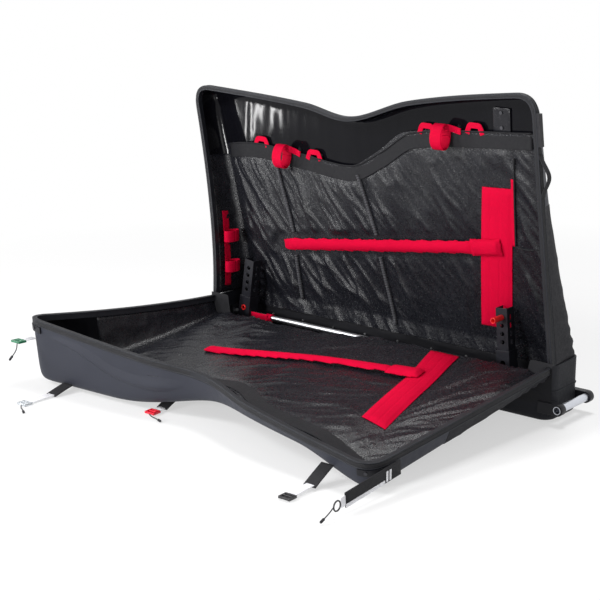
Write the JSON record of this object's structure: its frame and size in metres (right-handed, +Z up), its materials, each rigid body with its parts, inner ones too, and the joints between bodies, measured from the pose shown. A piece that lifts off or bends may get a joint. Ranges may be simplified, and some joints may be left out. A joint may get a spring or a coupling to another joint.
{
  "type": "bike travel case",
  "caption": "Open clamshell bike travel case with soft-lined halves on a wheeled base, a rail with sliding bike stands, red pads, webbing loops and buckled closing straps.",
  "frame": {"origin": "centre of the base's underside on the floor", "axes": "+X along the hinge to the right, +Y to the back, +Z up"},
  "size_m": [1.3739, 1.0701, 0.8636],
  "materials": {
    "hard_shell": "moulded dark grey plastic, satin outside, glossy inside",
    "shell_fabric": "black woven nylon",
    "rim": "dark grey rim band with a zip",
    "base": "black fabric-faced tub",
    "foot": "black rubber",
    "board": "black board",
    "steel": "bare steel",
    "rail_metal": "silver anodised tube",
    "black_plastic": "black moulded plastic",
    "tyre": "black wheel tyre",
    "stand": "black stand profile",
    "red_plastic": "red axle sleeve",
    "lining": "black nylon lining",
    "piping": "dark grey piped channel",
    "red_pad": "crimson padded fabric",
    "red_web": "crimson webbing",
    "plate": "glossy black plate",
    "rivet": "black rivet",
    "black_web": "black webbing",
    "white_web": "white webbing",
    "green_plastic": "green buckle",
    "clear_plastic": "clear white buckle",
    "red_buckle": "red buckle",
    "black_buckle": "black buckle",
    "cord": "dark cord"
  },
  "bodies": {
    "rear_half": {"base_tub": "base", "base_feet": "foot", "rivet_board": "board", "board_screws": "steel", "rail": "rail_metal", "rail_blocks": "black_plastic", "grab_tube": "rail_metal", "grab_holders": "black_plastic", "wheel_brackets": "black_plastic", "wheel_axles": "steel", "hinge_apron": "shell_fabric", "rear_cap": "hard_shell", "rear_fabric": "shell_fabric", "rear_rim": "rim", "rear_liner": "lining", "liner_battens": "piping", "rear_pad_panel": "red_pad", "rear_pad_bar": "red_pad", "rear_bar_cuff": "red_pad", "wheel_loops": "red_web", "hanger_loops": "red_web", "side_strap": "red_web", "cap_plate": "plate", "cap_rivets": "rivet", "end_handle": "black_web", "end_buckle": "black_plastic"},
    "front_half": {"front_cap": "hard_shell", "front_fabric": "shell_fabric", "front_rim": "rim", "front_liner": "lining", "front_pad_panel": "red_pad", "front_pad_bar": "red_pad", "front_bar_cuff": "red_pad", "corner_guard_left": "black_plastic", "corner_guard_right": "black_plastic", "corner_rivets": "rivet", "strap_sleeves": "black_web", "strap_webs": "white_web", "buckle_green": "green_plastic", "buckle_clear": "clear_plastic", "buckle_red": "red_buckle", "buckle_black": "black_buckle", "strap_ring": "black_buckle", "pull_green": "cord", "pull_clear": "cord", "pull_red": "cord", "pull_ring": "cord", "pull_beads": "foot"},
    "stand_left": {"stand_shoe_left": "stand", "rail_strap_left": "red_web"},
    "post_left": {"stand_post_left": "stand"},
    "axle_left": {"axle_sleeve_left": "red_plastic"},
    "stand_right": {"stand_shoe_right": "stand", "rail_strap_right": "red_web"},
    "post_right": {"stand_post_right": "stand"},
    "axle_right": {"axle_sleeve_right": "red_plastic"},
    "wheel_front": {"wheel_hub_front": "black_plastic", "wheel_tyre_front": "tyre"},
    "wheel_rear": {"wheel_hub_rear": "black_plastic", "wheel_tyre_rear": "tyre"}
  },
  "joints": [
    {"name": "front_lid", "type": "hinge", "parent": "rear_half", "child": "front_half", "pos_m": [0, -0.08, 0.16], "axis": [-1, 0, 0], "range_deg": [0, 93.4]},
    {"name": "stand_left_slide", "type": "slide", "parent": "rear_half", "child": "stand_left", "axis": [1, 0, 0], "range_m": [0, 0.16]},
    {"name": "stand_right_slide", "type": "slide", "parent": "rear_half", "child": "stand_right", "axis": [1, 0, 0], "range_m": [-0.16, 0]},
    {"name": "post_left_slide", "type": "slide", "parent": "stand_left", "child": "post_left", "axis": [0.1392, 0, 0.9903], "range_m": [-0.03, 0]},
    {"name": "post_right_slide", "type": "slide", "parent": "stand_right", "child": "post_right", "axis": [-0.0872, 0, 0.9962], "range_m": [-0.03, 0]},
    {"name": "axle_left_slide", "type": "slide", "parent": "stand_left", "child": "axle_left", "axis": [0, -1, 0], "range_m": [0, 0.02]},
    {"name": "axle_right_slide", "type": "slide", "parent": "post_right", "child": "axle_right", "axis": [0, -1, 0], "range_m": [0, 0.02]},
    {"name": "wheel_front_spin", "type": "hinge", "parent": "rear_half", "child": "wheel_front", "pos_m": [-0.645, -0.034, 0.038], "axis": [0, 1, 0], "continuous": true},
    {"name": "wheel_rear_spin", "type": "hinge", "parent": "rear_half", "child": "wheel_rear", "pos_m": [-0.645, 0.034, 0.038], "axis": [0, 1, 0], "continuous": true}
  ]
}
